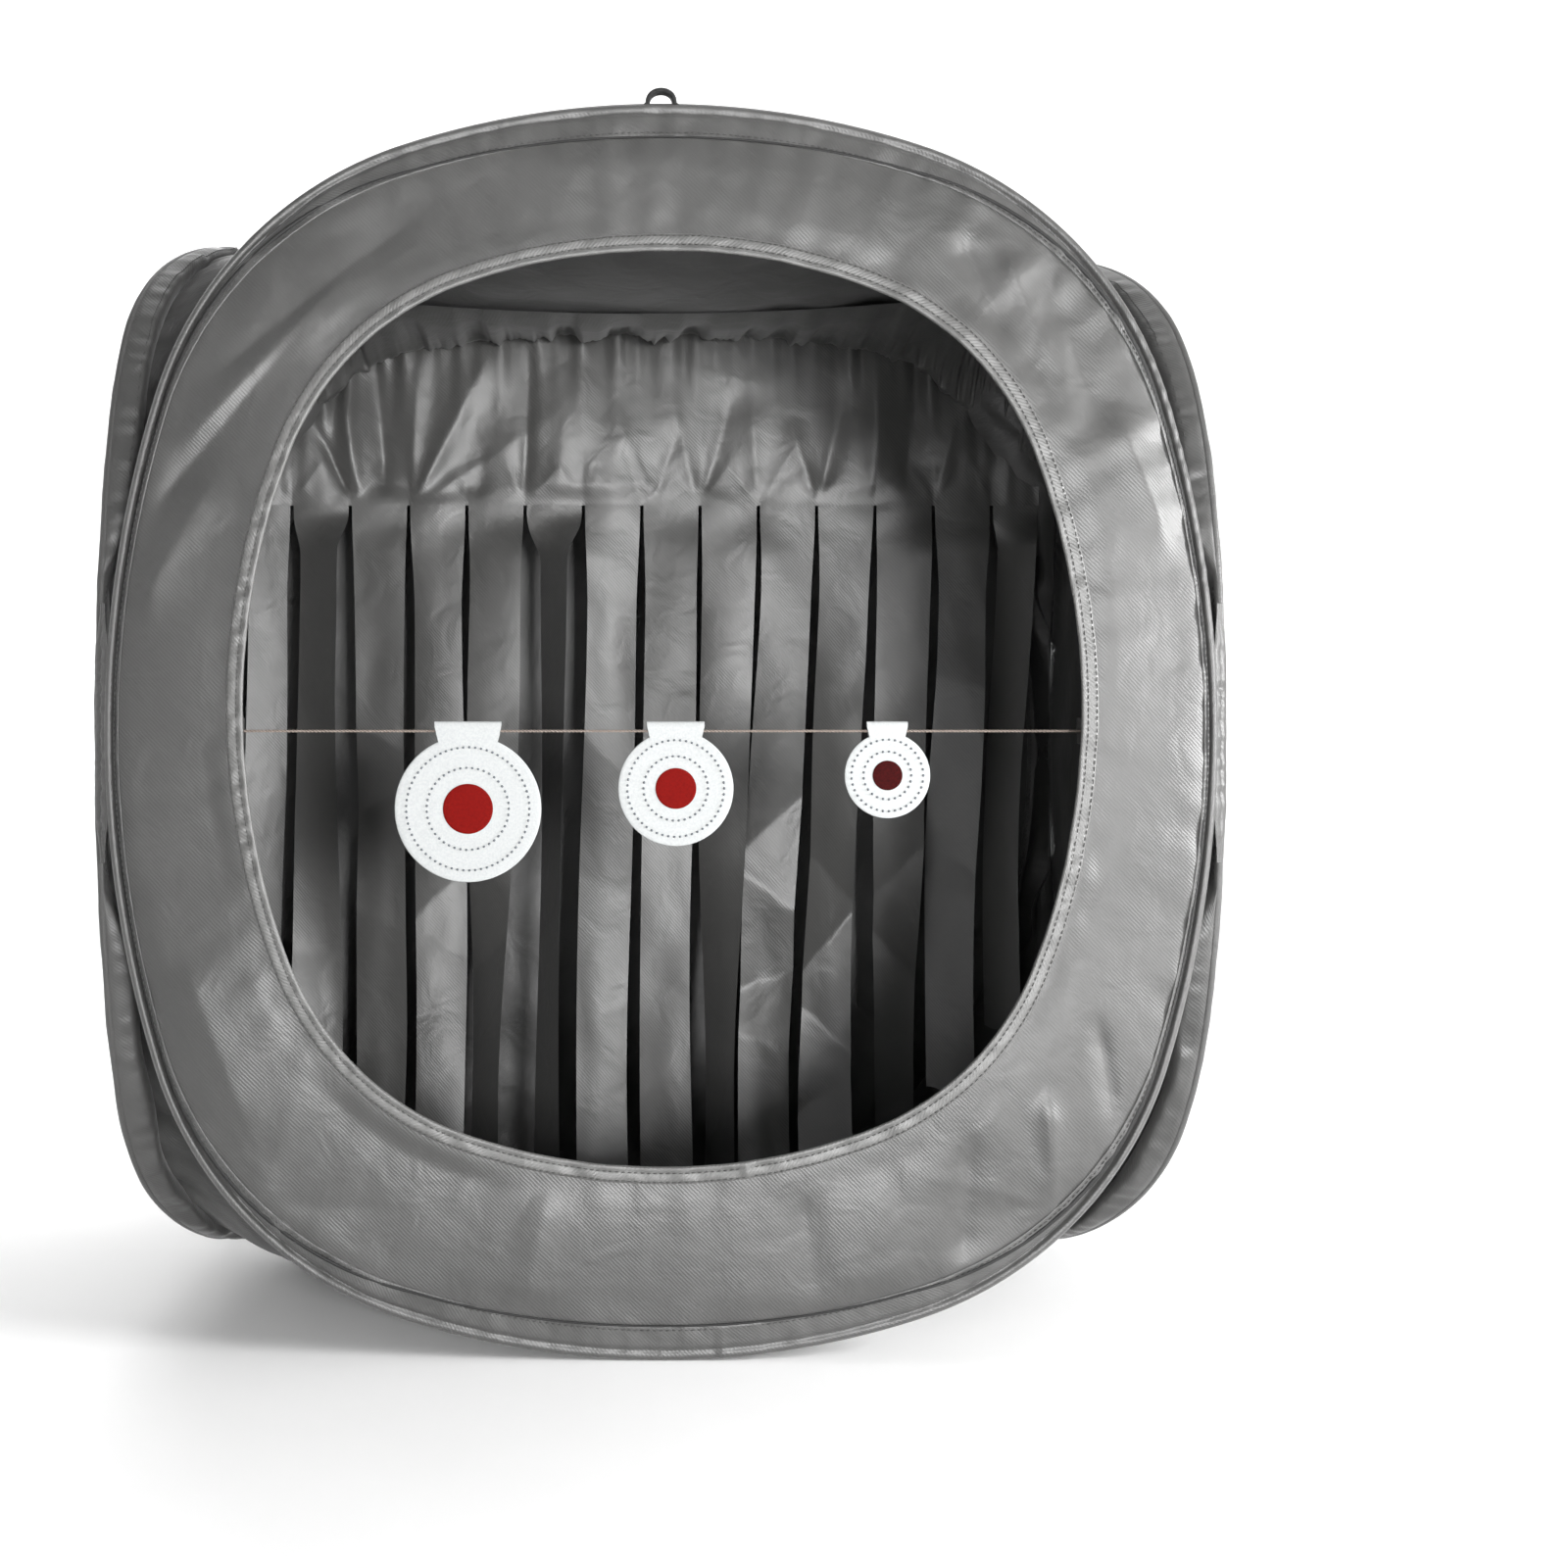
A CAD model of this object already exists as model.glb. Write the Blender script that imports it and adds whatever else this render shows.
"""Looks for the pop-up pellet trap: sewn sleeves, wrinkled cloth, a slit curtain and card targets.

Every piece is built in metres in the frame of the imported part: +Z up, the open front faces -Y.
"""

import math

import bpy
import numpy as np
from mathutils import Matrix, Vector


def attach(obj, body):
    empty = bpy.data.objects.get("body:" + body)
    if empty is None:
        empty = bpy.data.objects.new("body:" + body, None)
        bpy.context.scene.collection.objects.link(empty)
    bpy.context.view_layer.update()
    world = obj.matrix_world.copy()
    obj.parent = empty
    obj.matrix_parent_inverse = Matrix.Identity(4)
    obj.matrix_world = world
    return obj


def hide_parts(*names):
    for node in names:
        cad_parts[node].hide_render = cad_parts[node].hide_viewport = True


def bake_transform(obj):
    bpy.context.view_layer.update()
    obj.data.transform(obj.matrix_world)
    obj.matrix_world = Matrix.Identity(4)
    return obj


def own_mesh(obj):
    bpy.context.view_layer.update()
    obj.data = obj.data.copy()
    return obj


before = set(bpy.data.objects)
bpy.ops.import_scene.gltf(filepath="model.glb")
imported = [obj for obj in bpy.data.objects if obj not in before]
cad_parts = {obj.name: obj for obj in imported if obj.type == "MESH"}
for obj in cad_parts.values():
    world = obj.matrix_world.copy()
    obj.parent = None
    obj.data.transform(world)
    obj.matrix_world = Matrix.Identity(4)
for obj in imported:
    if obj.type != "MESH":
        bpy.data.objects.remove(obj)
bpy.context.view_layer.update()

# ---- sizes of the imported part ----

# A rounded square: half width, half height, corner radius, and how far its sides and its top bow out.
WALL = (0.29855, 0.33705, 0.205, 0.018, 0.012)
SIDE = (0.19135, 0.31455, 0.145, 0.036, 0.004)
OPENING = (0.2235, 0.2455, 0.155, 0.015, 0.009)
OPENING_UP = 0.012
SLEEVE_EDGE = 0.00145
WALLS_MIDDLE = 0.3385
WALL_Y, SIDE_X = 0.19755, 0.30475
AXIS_X, AXIS_Y = 0.30155, 0.19435
HEM_WIDTH = 0.008

CAP_MIDDLE = 0.336
WALL_POWER, SIDE_POWER, CORNER_SHARE = 2.5, 2.2, 0.002
CAP_X, CAP_Y = 0.297, 0.191
ROOF_OVER_SIDES, ROOF_OVER_WALLS, ROOF_SAG = 0.3145, 0.337, 0.025
FLOOR_AT_WALLS, FLOOR_AT_SIDES = 0.344, 0.3095

CURTAIN_Y, CURTAIN_HALF = 0.140, 0.286
SLIT_Z, STRIP_PITCH, STRIP_GAP = 0.513, 0.042, 0.0024
STRIPS = 14

LINE_Y, LINE_Z, LINE_RADIUS = -0.19615, 0.339, 0.0008
LINE_END = 0.2265
# Each target's place on the line, its centre's drop below it, its radius, its printed centre's radius
# and its tab's width.
DISCS = {
    "large": (-0.104, 0.042, 0.0395, 0.0135, 0.036),
    "medium": (0.008, 0.031, 0.031, 0.011, 0.031),
    "small": (0.122, 0.024, 0.023, 0.008, 0.022),
}

UP, FORWARD = np.array([0.0, 0.0, 1.0]), np.array([0.0, -1.0, 0.0])

WALLS = {
    "front": {"at": (0, -WALL_Y, WALLS_MIDDLE), "right": (1, 0, 0), "out": (0, -1, 0), "shape": WALL},
    "back": {"at": (0, WALL_Y, WALLS_MIDDLE), "right": (-1, 0, 0), "out": (0, 1, 0), "shape": WALL},
    "left": {"at": (-SIDE_X, 0, WALLS_MIDDLE), "right": (0, -1, 0), "out": (-1, 0, 0), "shape": SIDE},
    "right": {"at": (SIDE_X, 0, WALLS_MIDDLE), "right": (0, 1, 0), "out": (1, 0, 0), "shape": SIDE},
}


# ---- outlines ----

def arc(centre, radius, start, end, count):
    angle = np.linspace(start, end, count)
    return np.stack([centre[0] + radius * np.cos(angle), centre[1] + radius * np.sin(angle)], 1)


def evenly(points, count, closed=True):
    """The same line with count points spaced evenly along it."""
    if closed:
        points = np.vstack([points, points[:1]])
    run = np.concatenate([[0], np.cumsum(np.linalg.norm(np.diff(points, axis=0), axis=1))])
    at = np.linspace(0, run[-1], count, endpoint=not closed)
    return np.stack([np.interp(at, run, points[:, k]) for k in range(points.shape[1])], 1)


def rounded_square(shape, count, grow=0.0, up=0.0):
    """count points round a rounded square, anticlockwise from the middle of its foot."""
    a, b, r = shape[0] + grow, shape[1] + grow, shape[2] + grow
    bow_x, bow_z = shape[3:]
    cx, cz = a - r - bow_x, b - r - bow_z
    top = (cx**2 + (r + bow_z) ** 2 - r**2) / (2 * bow_z)
    side = (cz**2 + (r + bow_x) ** 2 - r**2) / (2 * bow_x)
    top_angle = math.atan2(cz - b + top, cx)
    side_angle = math.atan2(cz, cx - a + side)
    quarter = np.vstack([
        arc((a - side, 0), side, 0, side_angle, 60)[:-1],
        arc((cx, cz), r, side_angle, top_angle, 120)[:-1],
        arc((0, b - top), top, top_angle, math.pi / 2, 60),
    ])
    low = quarter * [1, -1]
    right = np.vstack([low[::-1], quarter[1:]])
    left = (right * [-1, 1])[::-1][1:-1]
    return evenly(np.vstack([right, left]), count) + [0, up]


def along(points):
    """How far each point of a closed line is from its first one."""
    step = np.linalg.norm(np.roll(points, -1, 0) - points, axis=1)
    return np.concatenate([[0], np.cumsum(step)[:-1]])


def inward(points):
    """The inward normals of a closed anticlockwise line."""
    tangent = np.roll(points, -1, 0) - np.roll(points, 1, 0)
    tangent /= np.linalg.norm(tangent, axis=1)[:, None]
    return np.stack([-tangent[:, 1], tangent[:, 0]], 1)


# How far the side hoops curl in at their tops and feet, where the roof and the floor pull on them,
# how late the curl begins, and how much lower it leaves their tops.
CURL = {"left": (0.040, 8, 0.004), "right": (0.055, 6, 0.014)}


def curled(wall, z):
    """How far inward a side hoop's curl carries a point at height z above the wall's middle."""
    reach, late, _ = CURL.get(wall, (0.0, 1, 0.0))
    return reach * np.minimum(1, np.abs(z) / SIDE[1]) ** late


def lowered(wall, z):
    """How much the curl lowers that point."""
    _, late, drop = CURL.get(wall, (0.0, 1, 0.0))
    return drop * np.clip(z / SIDE[1], 0, 1) ** late


def on_wall(wall, x, z, out):
    """Points of a wall from its own flat coordinates and their distance outward."""
    w = WALLS[wall]
    z = np.asarray(z)
    out = out - curled(wall, z)
    z = z - lowered(wall, z)
    return (np.array(w["at"]) + np.asarray(x)[..., None] * np.array(w["right"])
            + np.asarray(z)[..., None] * UP + np.asarray(out)[..., None] * np.array(w["out"]))


def beside(wall, line, normal, back, out):
    """A closed line of a wall, moved along its normals by back and then outward from the wall."""
    at = line + normal * np.reshape(back, (-1, 1))
    return on_wall(wall, at[:, 0], at[:, 1], out)


# ---- cloth shapes ----

def smooth(t):
    t = np.clip(t, 0, 1)
    return t * t * (3 - 2 * t)


def swell(x, y, seed, length, waves=14):
    """A gentle random surface from -1 to 1 whose humps are about length across."""
    rng = np.random.default_rng(seed)
    total = np.zeros(np.broadcast(x, y).shape)
    for _ in range(waves):
        angle, phase = rng.uniform(0, math.pi), rng.uniform(0, 2 * math.pi)
        k = math.pi / (length * rng.uniform(0.7, 1.8))
        total += np.sin(k * (math.cos(angle) * x + math.sin(angle) * y) + phase)
    return total / math.sqrt(waves) * 0.8


def gathers(run, seed, spacing, waves=7):
    """Uneven small pleats along a line, from -1 to 1, about spacing apart. They meet at its ends."""
    rng = np.random.default_rng(seed)
    length = float(np.max(run)) * (1 + 1 / max(1, np.size(run)))
    total = np.zeros(np.shape(run))
    for _ in range(waves):
        turns = max(1, round(length / (spacing * rng.uniform(0.7, 1.9))))
        total += np.sin(2 * math.pi * turns * run / length + rng.uniform(0, 2 * math.pi))
    return total / math.sqrt(waves)


def folds(x, y, lines, sharp=0.0006):
    """Ridges along straight lines: each line is (x0, y0, x1, y1, width at each end, height)."""
    total = np.zeros(np.broadcast(x, y).shape)
    for x0, y0, x1, y1, wide0, wide1, height in lines:
        dx, dy = x1 - x0, y1 - y0
        length = math.hypot(dx, dy)
        t = ((x - x0) * dx + (y - y0) * dy) / length**2
        off = ((x - x0) * dy - (y - y0) * dx) / length
        width = wide0 + (wide1 - wide0) * np.clip(t, 0, 1)
        inside = smooth(t / 0.25 + 0.15) * smooth((1 - t) / 0.35 + 0.1)
        total += height * inside * np.exp(-(np.sqrt(off**2 + sharp**2) / width) ** 1.4)
    return total


def rays(centre, seed, count, near, far, start, end, width, height):
    """A random fan of folds that runs out from a pulled point, for folds()."""
    rng = np.random.default_rng(seed)
    lines = []
    for k in range(count):
        angle = start + (end - start) * (k + rng.uniform(0.2, 0.8)) / count
        a, b = near * rng.uniform(0.6, 1.4), far * rng.uniform(0.55, 1.15)
        c, s = math.cos(angle), math.sin(angle)
        wide = width * rng.uniform(0.6, 1.5)
        lines.append((centre[0] + a * c, centre[1] + a * s, centre[0] + b * c, centre[1] + b * s,
                      wide * 0.45, wide * 1.3, height * rng.uniform(0.5, 1.2) * rng.choice([-1, 1, 1])))
    return lines


def grid(*parts):
    """Rows of points from coordinates that stretch to one another's size."""
    return np.stack(np.broadcast_arrays(*parts), 2)


def normals(points):
    n = np.cross(np.gradient(points, axis=1), np.gradient(points, axis=0))
    return n / np.maximum(np.linalg.norm(n, axis=2)[..., None], 1e-12)


# ---- meshes ----

def make_object(name, vertices, faces, material, uv):
    """A smooth mesh. uv holds one pair of metres for each vertex."""
    mesh = bpy.data.meshes.new(name)
    mesh.from_pydata([tuple(v) for v in vertices], [], faces)
    layer = mesh.uv_layers.new(name="cloth")
    loops = np.zeros(len(mesh.loops), int)
    mesh.loops.foreach_get("vertex_index", loops)
    layer.data.foreach_set("uv", uv[loops].astype(np.float32).ravel())
    mesh.shade_smooth()
    mesh.materials.append(material)
    obj = bpy.data.objects.new(name, mesh)
    bpy.context.scene.collection.objects.link(obj)
    return obj


def grid_faces(rows, cols, wrap=False, first=0, flip=False):
    last = cols if wrap else cols - 1
    faces = []
    for j in range(rows - 1):
        for i in range(last):
            k = (i + 1) % cols
            face = (first + j * cols + i, first + j * cols + k,
                    first + (j + 1) * cols + k, first + (j + 1) * cols + i)
            faces.append(face[::-1] if flip else face)
    return faces


def sheet_object(name, points, uv, material, wrap=False, flip=False):
    """A cloth surface from rows of points. wrap joins each row's last point to its first."""
    rows, cols = points.shape[:2]
    return make_object(name, points.reshape(-1, 3), grid_faces(rows, cols, wrap, 0, flip), material,
                       uv.reshape(-1, 2))


def ribbon(name, rows, run, across, material, wrap=True, flip=False):
    """A band of cloth from its rows of points. run and across are its flat coordinates."""
    return sheet_object(name, np.stack(rows), grid(run, np.array(across)[:, None]), material, wrap, flip)


def joined(name, parts, material):
    """One object from several (points, uv, wrap) grids."""
    vertices, faces, uvs = [], [], []
    for points, uv, wrap in parts:
        rows, cols = points.shape[:2]
        faces += grid_faces(rows, cols, wrap, sum(len(v) for v in vertices))
        vertices.append(points.reshape(-1, 3))
        uvs.append(uv.reshape(-1, 2))
    return make_object(name, np.vstack(vertices), faces, material, np.vstack(uvs))


def tube(path, radius, sides):
    """Rings of points round a path, and their uv. radius may vary along the path."""
    tangent = np.gradient(path, axis=0)
    tangent /= np.linalg.norm(tangent, axis=1)[:, None]
    side = np.cross(tangent, UP)
    weak = np.linalg.norm(side, axis=1) < 0.2
    side[weak] = np.cross(tangent[weak], [0.0, 1.0, 0.0])
    side /= np.linalg.norm(side, axis=1)[:, None]
    over = np.cross(side, tangent)
    angle = np.linspace(0, 2 * math.pi, sides, endpoint=False)
    radius = np.broadcast_to(radius, len(path))
    ring = (side[:, None] * np.cos(angle)[:, None] + over[:, None] * np.sin(angle)[:, None])
    points = path[:, None] + ring * radius[:, None, None]
    run = np.concatenate([[0], np.cumsum(np.linalg.norm(np.diff(path, axis=0), axis=1))])
    uv = grid(angle * float(np.mean(radius)), run[:, None])
    return points, uv


STITCH_PITCH, STITCH_LENGTH = 0.0034, 0.0024


def stitches(name, path, out, material, closed=True, pitch=STITCH_PITCH, length=STITCH_LENGTH,
             width=0.00055):
    """A row of small rounded beads along a path. out is the cloth's outward normal along it."""
    path = np.asarray(path, float)
    out = np.broadcast_to(np.asarray(out, float), path.shape)
    whole = np.vstack([path, path[:1]]) if closed else path
    count = max(2, int(np.linalg.norm(np.diff(whole, axis=0), axis=1).sum() / pitch))
    both = evenly(np.hstack([path, out]), count, closed)
    at, normal = both[:, :3], both[:, 3:]
    forward = np.roll(at, -1, 0) - np.roll(at, 1, 0) if closed else np.gradient(at, axis=0)
    forward /= np.linalg.norm(forward, axis=1)[:, None]
    normal = normal / np.linalg.norm(normal, axis=1)[:, None]
    across = np.cross(forward, normal)
    rings = [(-0.5, 0.35, -0.3), (-0.3, 0.9, 0.5), (0.0, 1.0, 0.75), (0.3, 0.9, 0.5), (0.5, 0.35, -0.3)]
    angle = np.linspace(0, 2 * math.pi, 6, endpoint=False)
    points = np.zeros((count, len(rings), 6, 3))
    for j, (share, wide, lift) in enumerate(rings):
        centre = at + forward * share * length + normal * lift * width * 0.5
        for i, a in enumerate(angle):
            points[:, j, i] = centre + width * wide * 0.5 * (across * math.cos(a) + normal * math.sin(a))
    faces = []
    for k in range(count):
        faces += grid_faces(len(rings), 6, True, k * len(rings) * 6)
    beads = points.reshape(-1, 3)
    return make_object(name, beads, faces, material, np.zeros((len(beads), 2)))


def put(piece, body, slot=None, *nodes):
    """Says which nodes a piece stands for, which body it rides and which material slot it has.

    What rides a side wall is squashed as well, because that wall loses its curl as the box folds.
    """
    if nodes:
        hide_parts(*nodes)
    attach(piece, body)
    if body in CURL:
        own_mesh(piece)


# ---- materials ----

def new_material(name):
    """A material, its shader, and two functions: one adds a node to it, the other links two sockets.

    A new node takes its kind, the outputs that feed its inputs, and the values of its inputs.
    """
    material = bpy.data.materials.new(name)
    material.use_nodes = True
    tree = material.node_tree

    def add(kind, feeds=None, values=None):
        node = tree.nodes.new("ShaderNode" + kind)
        for socket, source in (feeds or {}).items():
            tree.links.new(source, node.inputs[socket])
        for socket, value in (values or {}).items():
            node.inputs[socket].default_value = value
        return node

    return material, tree.nodes["Principled BSDF"], add, tree.links.new


def dress(shader, add, link, tone, colours, stops, grain, roughness, spread, bumps):
    """Leads a colour ramp, an uneven roughness and a chain of bumps into a shader."""
    ramp = add("ValToRGB", {"Fac": tone})
    for stop, position, colour in zip(ramp.color_ramp.elements, stops, colours):
        stop.position = position
        stop.color = (*colour, 1)
    link(ramp.outputs["Color"], shader.inputs["Base Color"])
    rough = add("MapRange", {"Value": grain}, {"To Min": max(0.05, roughness - spread),
                                               "To Max": roughness + spread})
    link(rough.outputs["Result"], shader.inputs["Roughness"])
    under = {}
    for source, strength, distance in bumps:
        bump = add("Bump", {"Height": source, **under}, {"Strength": strength, "Distance": distance})
        under = {"Normal": bump.outputs["Normal"]}
    link(under["Normal"], shader.inputs["Normal"])


def cloth(name, colour, lighter, roughness, sheen, thread=0.0008, weave=0.32, crumple=0.35, gloss=0.75):
    """Twill: diagonal ribs and threads in the bump, with slubs, faint soiling and small creases."""
    material, shader, add, link = new_material(name)
    place = add("TexCoord").outputs
    ribs = add("TexWave", {"Vector": place["UV"]},
               {"Scale": 0.314 / thread / math.sqrt(2), "Distortion": 1.2, "Detail": 1.0})
    ribs.bands_direction = "DIAGONAL"
    narrow = add("Mapping", {"Vector": place["UV"]}, {"Scale": (900, 2600, 1)})
    threads = add("TexNoise", {"Vector": narrow.outputs["Vector"]},
                  {"Scale": 1.0, "Detail": 3.0}).outputs["Fac"]
    cloudy = add("TexNoise", {"Vector": place["Object"]}, {"Scale": 14.0, "Detail": 4.0}).outputs["Fac"]
    creased = add("TexNoise", {"Vector": place["Object"]},
                  {"Scale": 42.0, "Detail": 2.5, "Distortion": 0.6}).outputs["Fac"]
    clouds = add("Math", {0: cloudy}, {1: 0.55})
    clouds.operation = "MULTIPLY"
    mixed = add("Math", {0: threads}, {1: 0.45})
    mixed.operation = "MULTIPLY_ADD"
    link(clouds.outputs[0], mixed.inputs[2])
    dress(shader, add, link, mixed.outputs[0], (colour, lighter), (0.25, 0.8), cloudy, roughness, 0.07,
          ((creased, crumple, 0.004), (ribs.outputs["Fac"], weave, 0.0002), (threads, weave, 0.00025)))
    shader.inputs["Sheen Weight"].default_value = sheen
    shader.inputs["Sheen Roughness"].default_value = 0.45
    shader.inputs["Specular IOR Level"].default_value = gloss
    return material


def plain(name, colour, darker, roughness, grain, depth, specular=0.4):
    """Card, print, thread or cord: a fine grain in the colour, the roughness and the bump."""
    material, shader, add, link = new_material(name)
    noise = add("TexNoise", {"Vector": add("TexCoord").outputs["Object"]},
                {"Scale": grain, "Detail": 4.0}).outputs["Fac"]
    dress(shader, add, link, noise, (darker, colour), (0.3, 0.62), noise, roughness, 0.08,
          ((noise, 0.5, depth),))
    shader.inputs["Specular IOR Level"].default_value = specular
    return material


WALL_CLOTH = cloth("wall_cloth", (0.036, 0.036, 0.035), (0.052, 0.051, 0.050), 0.44, 0.1,
                   crumple=0.26, gloss=0.62)
SLEEVE_CLOTH = cloth("sleeve_cloth", (0.038, 0.038, 0.037), (0.054, 0.053, 0.052), 0.44, 0.12,
                     gloss=0.65)
ROOF_CLOTH = cloth("roof_cloth", (0.048, 0.048, 0.047), (0.066, 0.065, 0.064), 0.50, 0.1)
BASE_CLOTH = cloth("base_cloth", (0.046, 0.046, 0.045), (0.062, 0.062, 0.060), 0.58, 0.06, gloss=0.5)
CURTAIN_CLOTH = cloth("curtain_cloth", (0.052, 0.052, 0.050), (0.074, 0.073, 0.071), 0.47, 0.08,
                      thread=0.0009, weave=0.28, crumple=0.25, gloss=1.0)
BINDING_CLOTH = cloth("binding_cloth", (0.058, 0.058, 0.056), (0.080, 0.079, 0.077), 0.46, 0.12)
WEBBING = cloth("webbing", (0.012, 0.012, 0.012), (0.022, 0.022, 0.022), 0.60, 0.03, thread=0.0016,
                weave=1.0, crumple=0.1, gloss=0.15)
PIPING = plain("piping", (0.012, 0.012, 0.012), (0.006, 0.006, 0.006), 0.7, 1500, 0.0001)
THREAD = plain("thread", (0.045, 0.045, 0.044), (0.025, 0.025, 0.024), 0.6, 2500, 0.0001)
LINE_CORD = plain("line_cord", (0.20, 0.168, 0.148), (0.13, 0.105, 0.088), 0.7, 1800, 0.0002,
                  specular=0.2)
CARD = plain("card", (0.34, 0.35, 0.35), (0.30, 0.31, 0.31), 0.6, 900, 0.00008, specular=0.2)
DENTS = plain("card_dents", (0.13, 0.14, 0.15), (0.09, 0.10, 0.11), 0.8, 900, 0.00008, specular=0.1)
RED_PRINT = plain("red_print", (0.125, 0.003, 0.002), (0.10, 0.002, 0.0015), 0.7, 700, 0.00006,
                  specular=0.05)
MAROON_PRINT = plain("maroon_print", (0.034, 0.002, 0.002), (0.016, 0.001, 0.001), 0.7, 700, 0.00006,
                     specular=0.05)


# ---- camera ----

CAMERA_AT = (-0.041, -1.2, 0.3045)
FRAME_WIDTH, FRONT_DISTANCE = 0.843, 1.0
SHIFT = (0.127, 0.007)


def make_camera():
    """Looks straight at the front from a little left of its middle, below half its height."""
    data = bpy.data.cameras.new("camera")
    data.sensor_width = 36
    data.lens = data.sensor_width * FRONT_DISTANCE / FRAME_WIDTH
    data.shift_x, data.shift_y = SHIFT
    camera = bpy.data.objects.new("camera", data)
    camera.location = CAMERA_AT
    camera.rotation_euler = (math.pi / 2, 0, 0)
    bpy.context.scene.collection.objects.link(camera)
    bpy.context.scene.camera = camera


# ---- target line ----

PLY_PITCH, PLY_OFF, PLY_RADIUS = 0.0042, 0.00038, 0.00046
PATCH_HALF_WIDE, PATCH_HALF_HIGH = 0.008, 0.007


def target_line():
    """A taut two-ply cord from one side of the opening to the other."""
    run = np.linspace(-LINE_END, LINE_END, 900)
    plies = []
    for turn in (0.0, math.pi):
        angle = run / PLY_PITCH * 2 * math.pi + turn
        path = np.stack([run, LINE_Y + PLY_OFF * np.cos(angle), LINE_Z + PLY_OFF * np.sin(angle)], 1)
        plies.append((*tube(path, PLY_RADIUS, 6), True))
    line = joined("line_cord", plies, LINE_CORD)
    put(line, "front", "line", "target_line")

    for side, name in ((-1, "line_patch_left"), (1, "line_patch_right")):
        x = np.linspace(-PATCH_HALF_WIDE, PATCH_HALF_WIDE, 13)[:, None]
        z = np.linspace(-PATCH_HALF_HIGH, PATCH_HALF_HIGH, 11)[None, :]
        edge = np.clip(np.minimum(PATCH_HALF_WIDE - abs(x), PATCH_HALF_HIGH - abs(z)) / 0.0015, 0, 1)
        over_line = 0.0011 * np.exp(-(z / 0.0022) ** 2)
        depth = 0.0005 + 0.0007 * smooth(edge) + over_line + 0.0003 * swell(x, z, 5, 0.006)
        points = grid(side * (LINE_END + 0.006) + x, -WALL_Y + 0.0008 + depth, LINE_Z + z)
        patch = sheet_object(name, points, grid(x, z), BINDING_CLOTH)
        put(patch, "front", "sleeve_cloth", *(["line_patches"] if side < 0 else []))


# ---- walls ----

AROUND = 900
HOOP_RADIUS = 0.0024
BAND_AT_SIDES, BAND_AT_ENDS = 0.0085, 0.0195
SEAM_LAP, STITCHES_IN = 0.003, 0.0022


def pillow(wall, normal, depth):
    """How far the front wall stands proud of its hoop at a distance in from the rim."""
    if wall != "front":
        return 0.0 * depth
    proud = 0.0050 + 0.0030 * np.abs(normal[:, 0]) ** 1.3
    return proud * (1 - np.exp(-depth / 0.012) + 0.9 * smooth(depth / 0.080))


def groove(wall, normal, depth):
    """How deep the front sleeve is drawn in behind its hoop; deepest down the sides."""
    if wall != "front":
        return 0.0 * depth
    return (0.0010 + 0.0042 * np.abs(normal[:, 0]) ** 1.5) * np.exp(-((depth - 0.0060) / 0.0013) ** 2)


def band_width(normal):
    """The sleeve is wider along the top and the foot of a wall than along its sides."""
    return BAND_AT_SIDES + (BAND_AT_ENDS - BAND_AT_SIDES) * np.abs(normal[:, 1]) ** 1.6


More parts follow.
